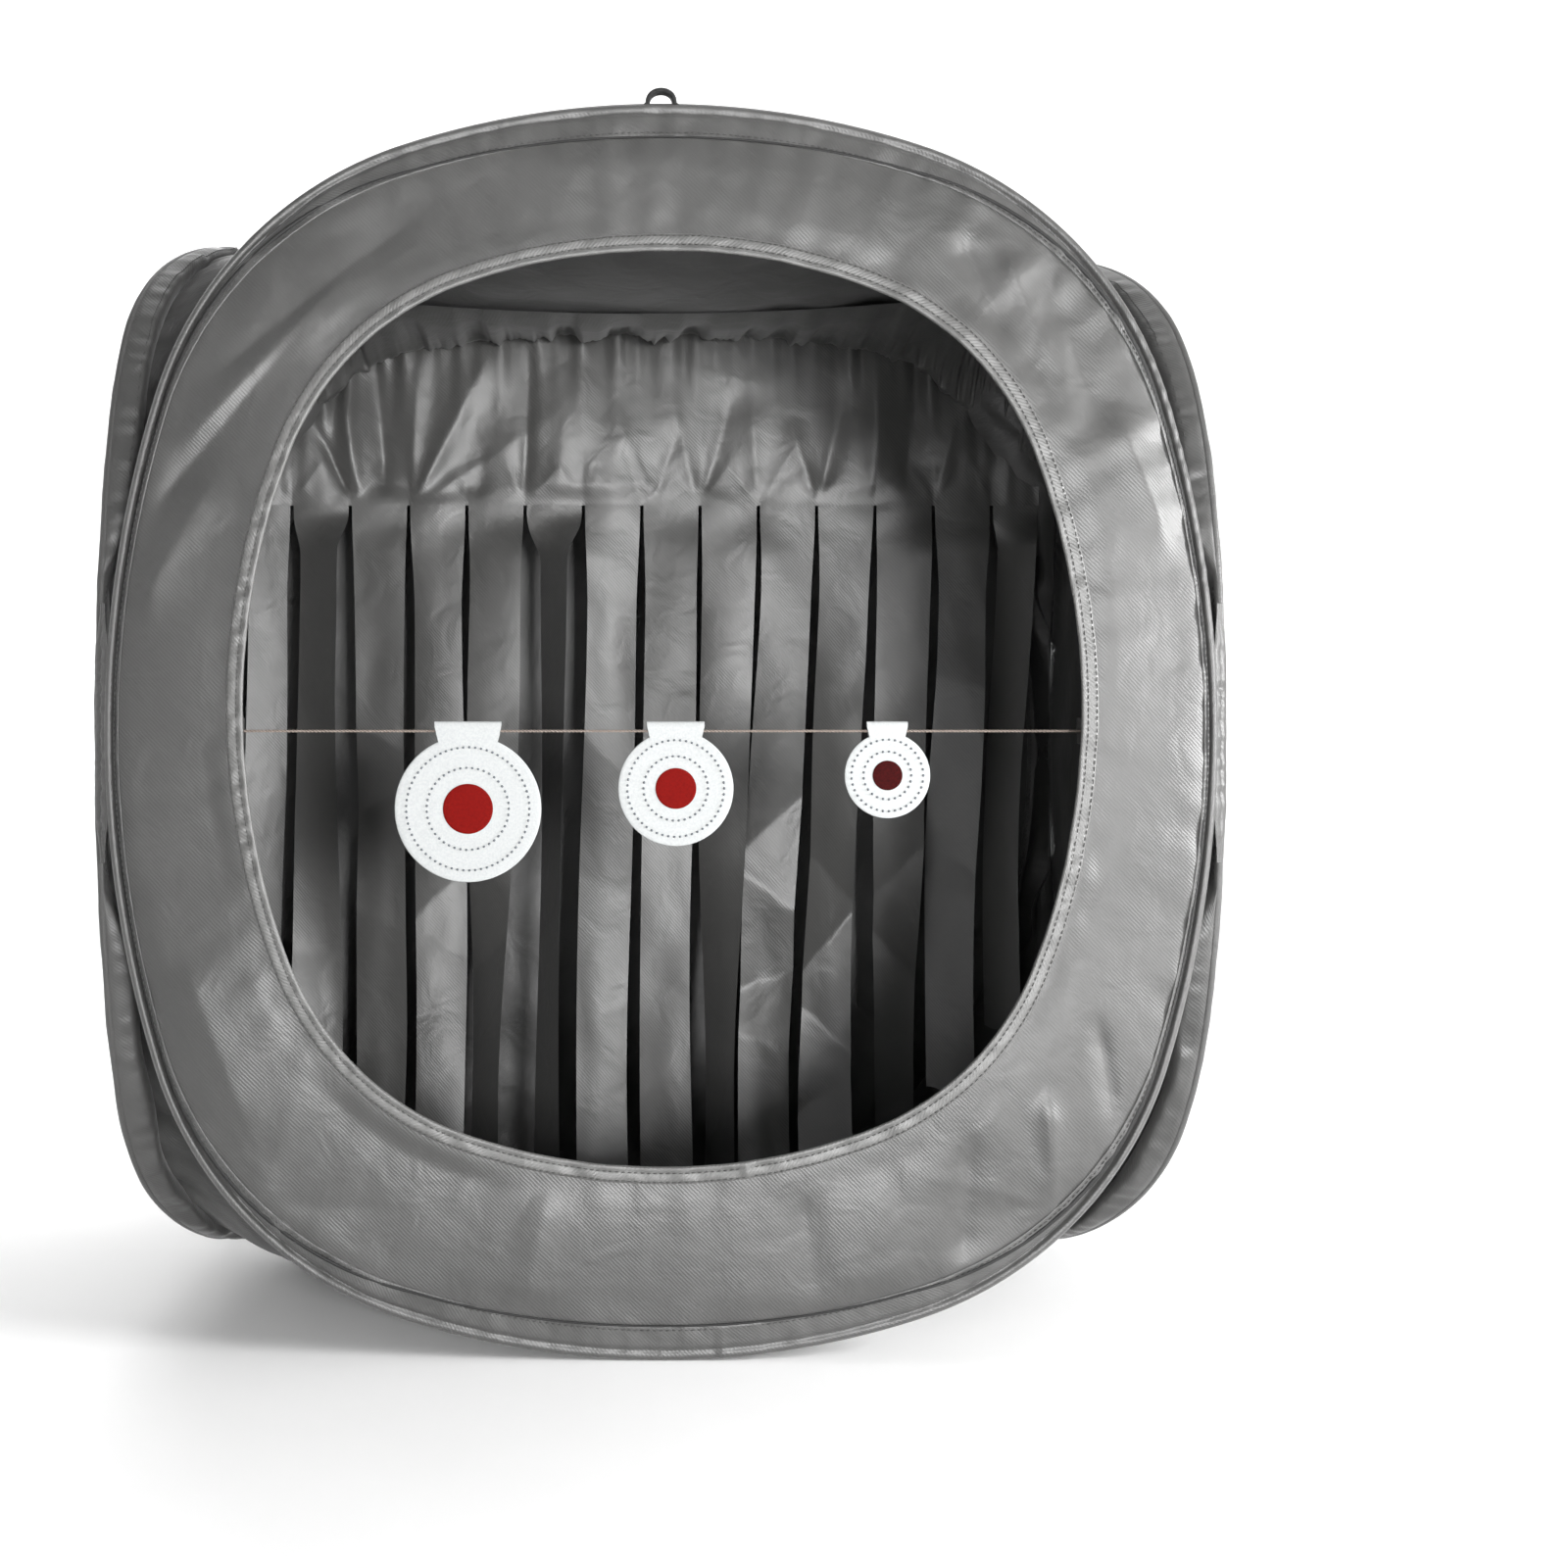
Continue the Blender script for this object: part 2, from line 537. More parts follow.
def sleeve(wall, seed):
    """Cloth sewn into a flattened tube round the hoop, with its row of stitches."""
    shape = WALLS[wall]["shape"]
    rim = rounded_square(shape, AROUND, SLEEVE_EDGE)
    run, normal = along(rim), inward(rim)
    width = band_width(normal)
    lap = 0.0012 * np.exp(-((run - 0.033) / 0.0016) ** 2) + 0.0007 * (np.abs(run - 0.045) < 0.012)
    crushed = 0.0016 * smooth((rim[:, 0] - 0.24) / 0.03) * np.exp(-((rim[:, 1] - 0.13) / 0.07) ** 2)
    share = np.concatenate([np.linspace(0, 0.18, 9), np.linspace(0.24, 1, 16)])
    rows, across = [], []
    for face, order in ((1, share[::-1]), (-1, share[1:])):
        for k in order:
            depth = width * k
            near = np.clip(depth / HOOP_RADIUS, 0, 1)
            full = HOOP_RADIUS * np.sqrt(np.clip(1 - (1 - near) ** 2, 0, 1))
            fall = np.exp(-np.clip(depth - HOOP_RADIUS, 0, None) / (0.32 * width))
            thick = np.where(depth < HOOP_RADIUS, full, 0.0007 + (HOOP_RADIUS - 0.0007) * fall)
            loose = 0.0006 * gathers(run, seed + 3 * face, 0.05)
            loose = loose + 0.0003 * gathers(run, seed + 5 * face, 0.016)
            slack = np.sin(math.pi * k) * loose
            tight = 0.00018 * k**2 * gathers(run, seed + 9, 0.009)
            if wall == "front":
                crush = crushed * math.sin(math.pi * min(1, k + 0.25))
                slack = slack + crush * gathers(run, seed + 7, 0.011)
            out = face * (thick + slack * (width / BAND_AT_ENDS) + tight + lap * (face > 0) * (k < 1))
            out = out + pillow(wall, normal, depth) - (face > 0) * groove(wall, normal, depth)
            rows.append(beside(wall, rim, normal, depth, out))
            across.append(face * 0.03 + k * 0.02)
    hem = rows[0] + np.array(WALLS[wall]["out"]) * -0.0012
    band = ribbon(f"{wall}_hoop_sleeve", [hem, *rows], run, [across[0], *across], SLEEVE_CLOTH, flip=True)
    put(band, wall, "sleeve_cloth", f"sleeve_{wall}", f"hoop_{wall}", f"ferrule_{wall}")

    for face, side in ((1, "outer"), (-1, "inner")):
        lift = pillow(wall, normal, width - STITCHES_IN)
        path = beside(wall, rim, normal, width - STITCHES_IN, face * 0.0011 + lift)
        put(stitches(f"{wall}_seam_{side}", path, face * np.array(WALLS[wall]["out"]), THREAD), wall)
    if wall == "front":
        sides = np.abs(normal[:, 0]) ** 1.5
        depth = 0.0070 * sides + (width + 0.0003) * (1 - sides)
        lift = pillow(wall, normal, depth) - 0.6 * groove(wall, normal, depth) + 0.0010 - 0.0007 * sides
        path = beside(wall, rim, normal, depth, lift)
        radius = 0.0006 + 0.0011 * sides
        points, uv = tube(np.vstack([path, path[:1]]), np.append(radius, radius[:1]), 6)
        put(joined("front_seam_cord", [(points, uv, True)], PIPING), wall)
    if wall in CURL:
        cap_flap(wall, rim, run, normal, seed + 11)


# The flap's profile: distance in from the wall's own plane, and depth below the hoop's rim.
FLAP = [(0.0008, 0.0006), (0.0028, 0.0001), (0.0050, 0.0002), (0.0080, 0.0007), (0.0105, 0.0012),
        (0.0128, 0.0020), (0.0142, 0.0036), (0.0148, 0.0062), (0.0148, 0.0095), (0.0138, 0.0135)]


def cap_flap(wall, rim, run, normal, seed):
    """The side sleeve's other flap, sewn to the roof and the floor along a row of stitches."""
    taper = smooth((np.abs(rim[:, 1]) - 0.075) / 0.05)
    rows = []
    for k, (back, depth) in enumerate(FLAP):
        share = k / (len(FLAP) - 1)
        soft = math.sin(math.pi * min(1, share * 1.1))
        slack = soft * (0.0011 * gathers(run, seed, 0.045) + 0.0005 * gathers(run, seed + 1, 0.014))
        depth = depth + np.maximum(slack, -0.0004 - depth) * taper
        wander = 1 + 0.10 * share * gathers(run, seed + 2, 0.10)
        rows.append(beside(wall, rim, normal, depth, -0.0006 - back * wander * taper))
    flap = ribbon(f"{wall}_cap_flap", rows, run, np.linspace(0, 0.02, len(FLAP)), SLEEVE_CLOTH)
    put(flap, wall, "sleeve_cloth")
    # The row of stitches shows along the top only.
    path = (rows[4] + rows[5]) / 2
    out = np.stack([0 * run, -normal[:, 0] * WALLS[wall]["right"][1], -normal[:, 1]], 1)
    top = (taper > 0.98) & (rim[:, 1] > 0)
    path = path[top] + out[top] * 0.0002
    put(stitches(f"{wall}_flap_seam_top", path, out[top], THREAD, closed=False), wall)


def panel_grid(shape, cells):
    """Flat points over a rounded square, on squares that grow from its middle, with no pole."""
    rim = rounded_square(shape, 2400, 0)
    rim = rim - rim.mean(0)
    angle = np.unwrap(np.arctan2(rim[:, 1], rim[:, 0]))
    p = np.linspace(-1, 1, cells)[None, :] * np.ones((cells, 1))
    q = np.linspace(-1, 1, cells)[:, None] * np.ones((1, cells))
    reach = np.maximum(np.abs(p), np.abs(q))
    ways = np.arctan2(q * shape[1], p * shape[0])
    ways = np.where(ways < angle[0], ways + 2 * math.pi, ways)
    x = np.interp(ways, angle, rim[:, 0], period=2 * math.pi) * reach
    z = np.interp(ways, angle, rim[:, 1], period=2 * math.pi) * reach
    return x, z, reach


def plain_panel(wall, seed, bulge):
    """A side or back wall: one taut sheet, pulled into soft folds by its hoop."""
    shape = WALLS[wall]["shape"]
    inner = (shape[0] - 0.006, shape[1] - 0.006, shape[2] - 0.006, shape[3], shape[4])
    x, z, reach = panel_grid(inner, 190)
    edge = 1 - reach
    fade = smooth(edge / 0.10)
    lines = []
    for k, (sx, sz) in enumerate(((1, 1), (-1, 1), (-1, -1), (1, -1))):
        corner = (sx * shape[0] * 0.86, sz * shape[1] * 0.88)
        toward = math.atan2(-sz * shape[1], -sx * shape[0])
        lines += rays(corner, seed + k, 7, 0.01, 0.20, toward - 0.7, toward + 0.7, 0.008, 0.0022)
    lines += rays((0, -shape[1] * 0.95), seed + 8, 8, 0.012, 0.12, 0.5, math.pi - 0.5, 0.007, 0.0016)
    out = bulge * (1 - reach**2) + fade * (0.0020 * swell(x, z, seed, 0.12)
                                           + 0.0008 * swell(x, z, seed + 1, 0.035) + folds(x, z, lines))
    ways = np.arctan2(z, x) * 0.3
    out = out + 0.0012 * np.exp(-edge / 0.07) * fade**0.3 * gathers(ways - ways.min(), seed + 2, 0.010)
    points = on_wall(wall, x, z, out)
    panel = sheet_object(f"{wall}_wall_cloth", points, grid(x, z), WALL_CLOTH)
    put(panel, wall, "wall_cloth", f"panel_{wall}")


# Soft pulls of the front wall, in its own flat coordinates: from, to, widths, height.
FRONT_FOLDS = [
    (-0.262, 0.145, -0.150, 0.262, 0.010, 0.016, 0.0045),
    (-0.280, 0.110, -0.185, 0.222, 0.008, 0.013, -0.0040),
    (-0.245, 0.185, -0.120, 0.285, 0.008, 0.012, -0.0030),
    (-0.283, 0.060, -0.235, 0.140, 0.010, 0.014, 0.0030),
    (0.158, 0.268, 0.186, 0.205, 0.006, 0.010, -0.0034),
    (0.182, 0.258, 0.212, 0.190, 0.006, 0.010, 0.0026),
    (0.208, 0.240, 0.240, 0.150, 0.008, 0.012, -0.0028),
    (0.240, 0.175, 0.275, 0.090, 0.008, 0.012, 0.0030),
    (0.232, -0.150, 0.250, -0.235, 0.005, 0.010, -0.0040),
    (0.205, -0.190, 0.212, -0.275, 0.006, 0.010, 0.0038),
    (0.165, -0.215, 0.160, -0.300, 0.007, 0.012, -0.0030),
    (-0.255, -0.120, -0.215, -0.225, 0.010, 0.016, 0.0030),
    (-0.060, -0.245, -0.075, -0.315, 0.010, 0.016, 0.0022),
    (0.075, -0.245, 0.085, -0.315, 0.010, 0.016, -0.0022),
]


def front_panel():
    """The front wall: a ring of cloth from the hoop's seam to the bound edge of the opening."""
    shape = WALLS["front"]["shape"]
    rim = rounded_square(shape, AROUND, SLEEVE_EDGE)
    run, normal = along(rim), inward(rim)
    seam = rim + normal * (band_width(normal) - SEAM_LAP)[:, None]
    edge = rounded_square(OPENING, AROUND, 0, OPENING_UP)
    share = np.linspace(0, 1, 64)[:, None]
    x = seam[:, 0] + (edge - seam)[:, 0] * share
    z = seam[:, 1] + (edge - seam)[:, 1] * share
    gap = np.linalg.norm(edge - seam, axis=1) * np.ones_like(share)
    from_seam, from_edge = gap * share, gap * (1 - share)
    fade = smooth(from_seam / 0.020) * smooth((from_edge - HEM_WIDTH - 0.001) / 0.014)
    fan = []
    for k, (corner, toward) in enumerate((((-0.215, 0.262), -0.8), ((0.215, 0.262), -2.35),
                                          ((0.215, -0.255), 2.35), ((-0.215, -0.255), 0.8))):
        fan += rays(corner, 40 + k, 7, 0.006, 0.10, toward - 1.5, toward + 1.5, 0.011, 0.0008)
    depth = band_width(normal) - SEAM_LAP + from_seam
    out = pillow("front", normal, depth) + fade * (
        0.0018 * swell(x, z, 11, 0.10) + 0.0003 * swell(x, z, 12, 0.032)
        + folds(x, z, FRONT_FOLDS) + folds(x, z, fan))
    out = out + smooth(from_seam / 0.004) * 0.0005 * np.exp(-from_seam / 0.020) * gathers(run, 13, 0.030)
    out = out + 0.0003 * fade * np.exp(-from_edge / 0.03) * gathers(run, 14, 0.020)
    out = out + edge_wave(run) * smooth(1 - from_edge / 0.05)
    points = on_wall("front", x, z, out)
    panel = sheet_object("front_wall_cloth", points, grid(x, z), WALL_CLOTH, wrap=True)
    put(panel, "front", "wall_cloth", "panel_front")
    opening_hem(edge, out[-1])


def edge_wave(run):
    """How far the bound edge of the opening waves in and out."""
    return 0.0009 * gathers(run, 21, 0.16) + 0.0003 * gathers(run, 22, 0.04)


# Where the hem's ends are tucked over each other, the radius of its rolled edge, and the profile of
# its flat part: distance back from the edge, and height.
TUCK_AT, HEM_ROLL = 0.045, 0.00125
HEM_PROFILE = [(0.0012, 0.0014), (0.0022, 0.0010), (0.0036, 0.00115), (0.0052, 0.00125),
               (0.0066, 0.0011), (0.0076, 0.0009), (0.0082, 0.0002), (0.0083, -0.0004)]


def opening_hem(edge, wave):
    """The opening's rolled edge, its flat hem and its stitches. wave is how far the edge stands out."""
    run, normal = along(edge), inward(edge)
    tuck = np.exp(-((run - TUCK_AT) / 0.0022) ** 2)
    gathered = smooth((run - 0.62 * run[-1]) / 0.1) * smooth((0.86 * run[-1] - run) / 0.1)
    pleats = 0.0006 * gathers(run, 23, 0.012) * gathered
    rows, across = [], []
    for k, angle in enumerate(np.linspace(-2.6, 1.35, 11)):
        out = 0.0003 + HEM_ROLL * math.sin(angle) + wave + 0.0008 * tuck
        rows.append(beside("front", edge, normal, HEM_ROLL * math.cos(angle) - 0.0002, out))
        across.append(0.0005 * k)
    for back, rise in HEM_PROFILE:
        puff = 0.0003 * gathers(run, 24, 0.012) * math.sin(math.pi * min(1, back / HEM_WIDTH))
        out = rise + wave + puff + pleats * math.sin(math.pi * back / 0.009) + 0.0010 * tuck
        rows.append(beside("front", edge, normal, -back, out))
        across.append(0.006 + back)
    hem = ribbon("opening_binding", rows, run, across, BINDING_CLOTH)
    put(hem, "front", "sleeve_cloth", "opening_hem")
    for name, back in (("hem_stitches_outer", 0.0071), ("hem_stitches_inner", 0.0024)):
        path = beside("front", edge, normal, -back, 0.00125 + wave)
        put(stitches(name, path, FORWARD, THREAD), "front")


def hang_loop():
    """A short loop of black webbing sewn into the top of the front sleeve."""
    top = WALLS["front"]["at"][2] + WALL[1] + SLEEVE_EDGE
    lean = np.linspace(0, math.pi, 33)
    centre = np.stack([0.0072 * np.cos(lean), np.zeros(33), top - 0.0006 + 0.0072 * np.sin(lean) ** 0.8], 1)
    foot = np.array([[0.0090, 0, top - 0.0022]])
    path = np.vstack([foot, centre, foot * [-1, 1, 1]])
    out = np.gradient(path, axis=0)
    out = np.stack([out[:, 2], np.zeros(len(path)), -out[:, 0]], 1)
    out /= np.linalg.norm(out, axis=1)[:, None]
    profile = [(-0.5, -0.35), (-0.5, 0.35), (-0.42, 0.5), (-0.2, 0.56), (0.0, 0.5), (0.2, 0.56),
               (0.42, 0.5), (0.5, 0.35), (0.5, -0.35), (0.42, -0.5), (0.0, -0.5), (-0.42, -0.5)]
    wide, thick = 0.0058, 0.0024
    points = np.stack([path + out * b * thick + np.array([0, a * wide, 0]) + [0, -WALL_Y, 0]
                       for a, b in profile], 1)
    run = np.concatenate([[0], np.cumsum(np.linalg.norm(np.diff(path, axis=0), axis=1))])
    uv = grid(run[:, None], np.arange(12) * 0.001)
    loop = joined("webbing_loop", [(points, uv, True)], WEBBING)
    put(loop, "front", "webbing", "hang_loop")


# ---- roof and floor ----

def eased(t):
    return np.sign(t) * np.abs(np.sin(t * math.pi / 2)) ** (2 / WALL_POWER)


def keeps(u, v):
    """Share of its full height that a cap keeps u across and v along, each from -1 to 1."""
    a, b = 1 + CORNER_SHARE - np.abs(u), 1 + CORNER_SHARE - np.abs(v)
    power = (WALL_POWER * a + SIDE_POWER * b) / (a + b)
    return (1 - np.minimum(1, np.abs(u * v)) ** power) ** (1 / power)


def roof_height(u, v):
    return CAP_MIDDLE + (ROOF_OVER_SIDES + (ROOF_OVER_WALLS - ROOF_OVER_SIDES) * v**2) * keeps(u, v) \
        - ROOF_SAG * (1 - u**2) * (1 - v**2)


def floor_height(u, v):
    depth = (FLOOR_AT_WALLS + (FLOOR_AT_SIDES - FLOOR_AT_WALLS) * u**2) * keeps(u, v)
    return CAP_MIDDLE - np.minimum(CAP_MIDDLE - 0.0006, depth)


def valley(u, v):
    """How deep the slack corner cloth falls between the two hoops that meet at a corner."""
    from_side, from_end = 1 - np.abs(u), 1 - np.abs(v)
    spread = from_side + from_end
    share = from_end / np.maximum(spread, 1e-9)
    depth = np.minimum(0.028, 0.14 * spread) * smooth((0.70 - spread) / 0.40)
    return depth * np.sin(math.pi * np.clip(share, 0, 1) ** 0.8) ** 0.8


def pulled_to_hoop(across, z, middle, shape, inside):
    """How far a cap's edge point moves to lie just inside a hoop's rim."""
    rim = rounded_square(shape, 2400, -inside)
    ways, reach = np.arctan2(rim[:, 1], rim[:, 0]), np.hypot(rim[:, 0], rim[:, 1])
    order = np.argsort(ways)
    angle = np.arctan2(z - middle, across)
    far = np.interp(angle, ways[order], reach[order], period=2 * math.pi)
    return far * np.cos(angle) - across, middle + far * np.sin(angle) - z


def cap_surface(kind, u, v):
    """Points of the roof or the floor for u across and v along, each from -1 to 1."""
    x, y = CAP_X * u, CAP_Y * v
    z = roof_height(u, v) if kind == "roof" else floor_height(u, v)
    from_side, from_end = (1 - np.abs(u)) ** 2 + 1e-9, (1 - np.abs(v)) ** 2 + 1e-9
    side = np.abs(u) ** 8 * from_end / (from_side + from_end)
    end = np.abs(v) ** 8 * from_side / (from_side + from_end)
    end_x, end_z = pulled_to_hoop(x, z, WALLS_MIDDLE, WALL, 0.002)
    side_y, side_z = pulled_to_hoop(y, z, WALLS_MIDDLE, SIDE, 0.012)
    above = z - WALLS_MIDDLE
    curl = np.where(u < 0, curled("left", above), curled("right", above))
    drop = np.where(u < 0, lowered("left", above), lowered("right", above))
    x = x + end_x * end + (SIDE_X - 0.0016 - curl - CAP_X) * np.sign(u) * side
    y = y + side_y * side + (WALL_Y - 0.0016 - CAP_Y) * np.sign(v) * end
    z = z + end_z * end + (side_z - drop) * side
    return grid(x, y, z)


OVER_GROUND = 0.0003


def cap(kind, part, material, body, seed):
    """Half of the roof or the floor. The two halves meet at the middle on one continuous surface."""
    columns, rows = 260, 110
    u = eased(np.linspace(-1, 1, columns))[None, :] * np.ones((rows, 1))
    along_v = np.linspace(-1, 0, rows) if part == "front" else np.linspace(0, 1, rows)
    v = eased(along_v)[:, None] * np.ones((1, columns))
    points = cap_surface(kind, u, v)
    out = normals(points)
    out *= np.sign(np.sum(out * (points - [0, 0, CAP_MIDDLE]), axis=2))[..., None]

    from_side, from_end = 1 - np.abs(u), 1 - np.abs(v)
    spread = from_side + from_end
    height = -valley(u, v)
    # Beside the front and back hoops the cloth is creased tight, then rolls out a little.
    behind, there = from_end * CAP_Y, smooth((np.abs(u) - 0.62) / 0.25) * smooth(spread / 0.05)
    height = height + there * (0.0075 * np.exp(-((behind - 0.0085) / 0.0045) ** 2)
                               - 0.0045 * np.exp(-((behind - 0.0022) / 0.0016) ** 2))
    near = np.minimum(from_side * CAP_X, from_end * CAP_Y)
    free = smooth(near / 0.012)
    x, y = points[..., 0], points[..., 1]
    sheet_out = 0.0030 * swell(x, y, seed, 0.10) + 0.0011 * swell(x, y, seed + 1, 0.032)
    lines = []
    for k, (sx, sy) in enumerate(((-1, -1), (1, -1), (1, 1), (-1, 1))):
        corner = (sx * 0.235, sy * 0.150)
        toward = math.atan2(-corner[1], -corner[0])
        lines += rays(corner, seed + 20 + k, 9, 0.01, 0.20, toward - 0.9, toward + 0.9, 0.009, 0.0032)
    for k, (at_x, sy) in enumerate(((-0.11, -1), (0.0, -1), (0.12, -1), (-0.10, 1), (0.02, 1), (0.11, 1))):
        toward = -sy * math.pi / 2
        lines += rays((at_x, sy * 0.185), seed + 30 + k, 5, 0.01, 0.13, toward - 0.5, toward + 0.5,
                      0.007, 0.0022)
    height = height + free * (sheet_out + folds(x, y, lines)) * (0.35 if kind == "floor" else 1.0)
    ways = x if kind == "roof" else x * 0.9
    pleat = 0.0020 * np.exp(-from_end * CAP_Y / 0.020) * gathers(ways - ways.min(), seed + 3, 0.015)
    side_pleat = 0.0018 * np.exp(-from_side * CAP_X / 0.018) * gathers(y - y.min(), seed + 4, 0.014)
    height = height + smooth(near / 0.003) * (pleat + side_pleat)
    if kind == "floor":
        height = np.minimum(height, (points[..., 2] - 0.0004) * 3.0)
    points = points + out * height[..., None]
    points[..., 2] = np.maximum(points[..., 2], OVER_GROUND)
    step = np.linalg.norm(np.diff(points, axis=0, prepend=points[:1]), axis=2)
    uv = grid(points[..., 0], np.cumsum(step, axis=0))
    half = sheet_object(f"{kind}_{part}_cloth", points, uv, material)
    put(half, body, "wall_cloth" if kind == "roof" else "base_cloth", f"{kind}_{part}")
    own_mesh(half)


# ---- corner seams ----

TAPE_LOW, TAPE_HIGH = 0.268, 0.408


def corner_tape(end, edge, bodies, seed):
    """The binding that ties two hoops together at a corner, folded round both sleeves."""
    node = f"corner_seam_{end[0]}{edge[0]}"
    sx, sy = (-1 if edge == "left" else 1), (-1 if end == "front" else 1)
    z = np.linspace(TAPE_LOW, TAPE_HIGH, 120)
    ends = smooth((z - TAPE_LOW) / 0.03) * smooth((TAPE_HIGH - z) / 0.03)
    front = np.array([sx * 0.2982, sy * (WALL_Y + 0.0024)])
    corner = np.array([sx * (AXIS_X + 0.0022), sy * (AXIS_Y + 0.0022)])
    side = np.array([sx * (SIDE_X + 0.0024), sy * 0.1910])
    columns = []
    for t in np.linspace(0, 1, 15):
        flat = (1 - t) ** 2 * front + 2 * t * (1 - t) * corner + t**2 * side
        pinch = 0.0011 * math.exp(-((t - 0.5) / 0.10) ** 2)
        away = np.array([sx, sy]) / math.sqrt(2)
        wave = (0.0004 * gathers(z - z[0], seed, 0.010) + 0.0002 * gathers(z - z[0], seed + 1, 0.004))
        tuck = -0.0008 * (abs(t - 0.5) > 0.46)
        rise = wave * math.sin(math.pi * t) + tuck - pinch
        xy = flat + away * rise[:, None]
        inner = np.array([sx * AXIS_X, sy * AXIS_Y])
        xy = inner + (xy - inner) * (0.35 + 0.65 * ends)[:, None]
        columns.append(np.stack([xy[:, 0], xy[:, 1], z], 1))
    points = np.stack(columns, 1)
    uv = grid(np.linspace(0, 0.026, 15)[None, :], z[:, None])
    tape = sheet_object(f"corner_tape_{end}_{edge}", points, uv, WALL_CLOTH)
    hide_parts(node)
    if len(bodies) == 2:
        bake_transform(tape)
    else:
        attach(tape, bodies[0])


# ---- curtain ----

def slit_x(i):
    return max(-CURTAIN_HALF, min(CURTAIN_HALF, (i - STRIPS / 2) * STRIP_PITCH))


SLITS = np.array([slit_x(i) for i in range(STRIPS + 1)])


def lower_edge(x):
    """How far the header's lower edge stands forward: it bulges between the slits."""
    place = np.interp(x, SLITS, np.arange(STRIPS + 1))
    between = np.sin(math.pi * (place - np.floor(place)))
    uneven = 0.6 + 0.4 * np.sin(2.3 * np.floor(place) + 0.7)
    return 0.0026 * between * uneven + 0.0010 * swell(x, 0 * x, 31, 0.08)


# Pulls of the curtain's header, from the slit ends up: from, to, widths, height toward the front.
HEADER_FOLDS = [
    (-0.209, 0.516, -0.236, 0.574, 0.003, 0.006, -0.0060),
    (-0.203, 0.518, -0.216, 0.600, 0.004, 0.010, 0.0055),
    (-0.185, 0.520, -0.192, 0.640, 0.006, 0.016, -0.0085),
    (-0.163, 0.516, -0.100, 0.640, 0.005, 0.020, 0.0085),
    (-0.166, 0.516, -0.160, 0.640, 0.004, 0.010, 0.0045),
    (-0.160, 0.514, -0.050, 0.585, 0.004, 0.016, 0.0030),
    (-0.120, 0.516, -0.112, 0.560, 0.004, 0.012, -0.0030),
    (-0.084, 0.514, -0.080, 0.640, 0.003, 0.009, -0.0050),
    (-0.062, 0.516, -0.048, 0.620, 0.008, 0.020, 0.0030),
    (-0.002, 0.516, -0.012, 0.560, 0.003, 0.012, -0.0020),
    (0.006, 0.516, -0.024, 0.590, 0.004, 0.012, 0.0024),
    (0.008, 0.516, 0.030, 0.575, 0.003, 0.008, -0.0022),
    (0.040, 0.516, 0.018, 0.600, 0.003, 0.010, 0.0022),
    (0.044, 0.516, 0.070, 0.605, 0.004, 0.014, -0.0035),
    (0.084, 0.515, 0.078, 0.590, 0.004, 0.012, 0.0030),
    (0.126, 0.516, 0.104, 0.575, 0.003, 0.010, 0.0034),
    (0.128, 0.516, 0.150, 0.610, 0.004, 0.016, -0.0045),
    (0.166, 0.516, 0.172, 0.640, 0.005, 0.014, 0.0060),
    (0.190, 0.520, 0.200, 0.640, 0.008, 0.018, -0.0060),
    (0.210, 0.516, 0.236, 0.610, 0.005, 0.014, 0.0050),
]


ROOF_WRINKLES, ROOF_SLOPE, BESIDE_WALL = 0.006, 1.5, 0.014


def under_roof(x, y):
    """Height just under the roof's folds over a point."""
    u, v = x / CAP_X, y / CAP_Y
    low = ROOF_WRINKLES + ROOF_SLOPE * valley(u, v) + BESIDE_WALL * smooth((np.abs(u) - 0.82) / 0.14)
    return roof_height(u, v) - low


def flattened(piece):
    """The walls press a piece of the curtain flat as they fold."""
    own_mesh(piece)


def curtain_header():
    """The top of the curtain: pulled into fans by the slit ends, gathered where it meets the roof."""
    x = CURTAIN_HALF * np.sin(np.linspace(-math.pi / 2, math.pi / 2, 520))[None, :]
    share = np.linspace(0, 1, 150)[:, None]
    top = under_roof(x, CURTAIN_Y) + 0.002
    z = SLIT_Z + (top - SLIT_Z) * share
    x = x * np.ones_like(share)
    up, down = z - SLIT_Z, top - z
    fade = smooth(up / 0.016)
    fan = []
    for i in range(1, STRIPS):
        fan += rays((SLITS[i], SLIT_Z), 60 + i, 3, 0.004, 0.050, 0.7, math.pi - 0.7, 0.0045, 0.0006)
    run = x + 0.3
    forward = lower_edge(x) * np.exp(-(up / 0.035) ** 2) + fade * (
        0.75 * folds(x, z, HEADER_FOLDS, 0.0015) + folds(x, z, fan)
        + 0.0030 * swell(x, z, 33, 0.11) + 0.0002 * swell(x, z, 34, 0.035))
    forward = forward + 0.0028 * np.exp(-down / 0.026) * gathers(run, 35, 0.017)
    forward = forward + 0.0035 * np.sin(math.pi * np.clip(share, 0, 1)) * smooth(up / 0.05)
    points = grid(x, CURTAIN_Y - forward, z)
    header = sheet_object("curtain_header_cloth", points, grid(x, z), CURTAIN_CLOTH)
    put(header, "curtain", "curtain_cloth", "curtain_header")
    flattened(header)


# The ruffle's profile from its front edge back to its seam: distance ahead of the curtain, and rise.
RUFFLE = [(0.110, 0.0015), (0.090, -0.0030), (0.070, -0.0030), (0.052, -0.0035), (0.038, -0.0040),
          (0.026, -0.0045), (0.017, -0.0055), (0.010, -0.0070), (0.0065, -0.0086), (0.0040, -0.0092),
          (0.0018, -0.0076), (0.0008, -0.0040)]


